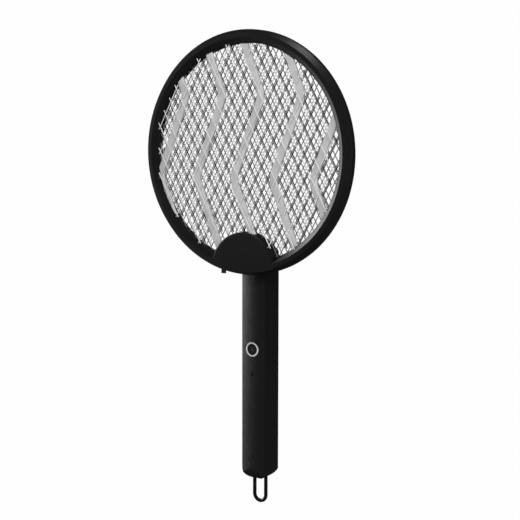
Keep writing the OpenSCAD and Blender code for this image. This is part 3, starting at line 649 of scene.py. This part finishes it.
# %% Button mark
button_low, button_high = box_of("power_button")
button_middle = (button_low + button_high) / 2
mark_height, mark_thickness, mark_sink = 5.2 * MM, 0.2 * MM, 0.03 * MM
mark_outline = [(0.10, 0.5), (-0.30, -0.08), (-0.03, -0.08),
                (-0.10, -0.5), (0.30, 0.08), (0.03, 0.08)]


def extruded(name, outline, depth, thickness, finish):
    """A flat outline in the XZ plane, its front at depth, with a thickness towards +Y."""
    shape = bmesh.new()
    face = shape.faces.new([shape.verts.new((x, depth, z)) for x, z in outline])
    grown = bmesh.ops.extrude_face_region(shape, geom=[face])
    moved = [item for item in grown["geom"] if isinstance(item, bmesh.types.BMVert)]
    bmesh.ops.translate(shape, verts=moved, vec=(0, thickness, 0))
    bmesh.ops.recalc_face_normals(shape, faces=shape.faces)
    mesh = bpy.data.meshes.new(name)
    shape.to_mesh(mesh)
    shape.free()
    mesh.materials.append(finish)
    made = bpy.data.objects.new(name, mesh)
    bpy.context.collection.objects.link(made)
    return made


printed = lacquered("printed_grey", (0.05, 0.05, 0.05, 1), 0.5, 0.3)
mark = extruded("button_mark",
                [(x * mark_height + button_middle.x, z * mark_height + button_middle.z)
                 for x, z in mark_outline],
                button_low.y + mark_sink, mark_thickness, printed)
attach(mark, "button")
print("button mark on a cap of", round((button_high.x - button_low.x) / MM, 1), "mm")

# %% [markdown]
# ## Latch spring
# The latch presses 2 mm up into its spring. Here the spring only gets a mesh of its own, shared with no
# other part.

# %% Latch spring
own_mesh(nodes["latch_spring"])

# %% [markdown]
# ## Camera, floor and light
# The camera stands to the right of the object and a little above it, far enough for a mild
# perspective. A pale floor and large soft lights give the plain look of a studio.

# %% Camera
azimuth, elevation, tilt = math.radians(32.865), math.radians(6.961), math.radians(0.101)
sensor_width, focal_ratio, distance = 36, 1218.65 / 520, 1.14773
slide_x, slide_y = -0.012596, 0.100626
right = Vector((math.cos(azimuth), math.sin(azimuth), 0))
towards = Vector((math.sin(azimuth) * math.cos(elevation),
                  -math.cos(azimuth) * math.cos(elevation), math.sin(elevation)))
up = right.cross(-towards)
right, up = (right * math.cos(tilt) + up * math.sin(tilt),
             up * math.cos(tilt) - right * math.sin(tilt))
camera_data = bpy.data.cameras.new("camera")
camera_data.sensor_width = sensor_width
camera_data.lens = sensor_width * focal_ratio
camera = bpy.data.objects.new("camera", camera_data)
bpy.context.collection.objects.link(camera)
camera.matrix_world = Matrix.Translation(
    head_middle - right * slide_x - up * slide_y + towards * distance
) @ Matrix((right, up, towards)).transposed().to_4x4()
bpy.context.scene.camera = camera

# %% Floor and backdrop
seen_white, lit_sky_strength = 0.99, 0.04
floor_size, floor_gap = 30, 2 * MM


def seen_and_lit(tree, seen, lit):
    """A shader that the camera sees as one strength and that lights the object as another."""
    ray = tree.nodes.new("ShaderNodeLightPath")
    mix = tree.nodes.new("ShaderNodeMixShader")
    tree.links.new(ray.outputs["Is Camera Ray"], mix.inputs[0])
    tree.links.new(lit.outputs[0], mix.inputs[1])
    tree.links.new(seen.outputs[0], mix.inputs[2])
    return mix


paper = Finish("studio_paper")
cloud = paper.noise(2.0, 2.0)
paper.set(Base_Color=paper.blend(cloud, grey(0.05), grey(0.055)), Roughness=0.9)
glow = paper.tree.nodes.new("ShaderNodeEmission")
glow.inputs["Strength"].default_value = seen_white
paper_mix = seen_and_lit(paper.tree, glow, paper.shader)
paper.tree.links.new(paper_mix.outputs[0], paper.tree.nodes["Material Output"].inputs["Surface"])
floor_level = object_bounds()[0].z - floor_gap
bpy.ops.mesh.primitive_plane_add(size=floor_size, location=(0, 0, floor_level))
floor = bpy.context.object
floor.name = "studio_floor"
floor.data.materials.append(paper.material)

# %% Lights
world = bpy.data.worlds.new("studio")
world.use_nodes = True
world_tree = world.node_tree
seen_sky = world_tree.nodes["Background"]
seen_sky.inputs["Color"].default_value = (1, 1, 1, 1)
seen_sky.inputs["Strength"].default_value = seen_white
lit_sky = world_tree.nodes.new("ShaderNodeBackground")
lit_sky.inputs["Color"].default_value = (1, 1, 1, 1)
lit_sky.inputs["Strength"].default_value = lit_sky_strength
world_mix = seen_and_lit(world_tree, seen_sky, lit_sky)
world_tree.links.new(world_mix.outputs[0], world_tree.nodes["World Output"].inputs["Surface"])
bpy.context.scene.world = world
bpy.context.scene.view_settings.view_transform = "Standard"


def soft_light(name, place, aim, width, height, watts):
    data = bpy.data.lights.new(name, "AREA")
    data.shape = "RECTANGLE"
    data.size = width
    data.size_y = height
    data.energy = watts
    lamp = bpy.data.objects.new(name, data)
    bpy.context.collection.objects.link(lamp)
    lamp.location = place
    lamp.rotation_mode = "QUATERNION"
    lamp.rotation_quaternion = (Vector(aim) - Vector(place)).to_track_quat("-Z", "Y")
    return lamp


strip = soft_light("left_strip", (-1.7, -0.3, 0.0), (0, 0, 0), 0.5, 1.8, 48)
overhead = soft_light("overhead", (0.25, -0.1, 1.8), (0.05, 0, 0.25), 0.5, 0.5, 5)
key = soft_light("front_key", (0.8, -1.9, 1.2), (0, 0, 0.15), 0.9, 0.9, 56)
fill = soft_light("right_fill", (1.9, -0.7, 0.4), (0, 0, 0.1), 0.9, 0.9, 34)
for lamp in (key, fill):
    lamp.visible_glossy = False
print("lights:", [lamp.name for lamp in (strip, overhead, key, fill)])
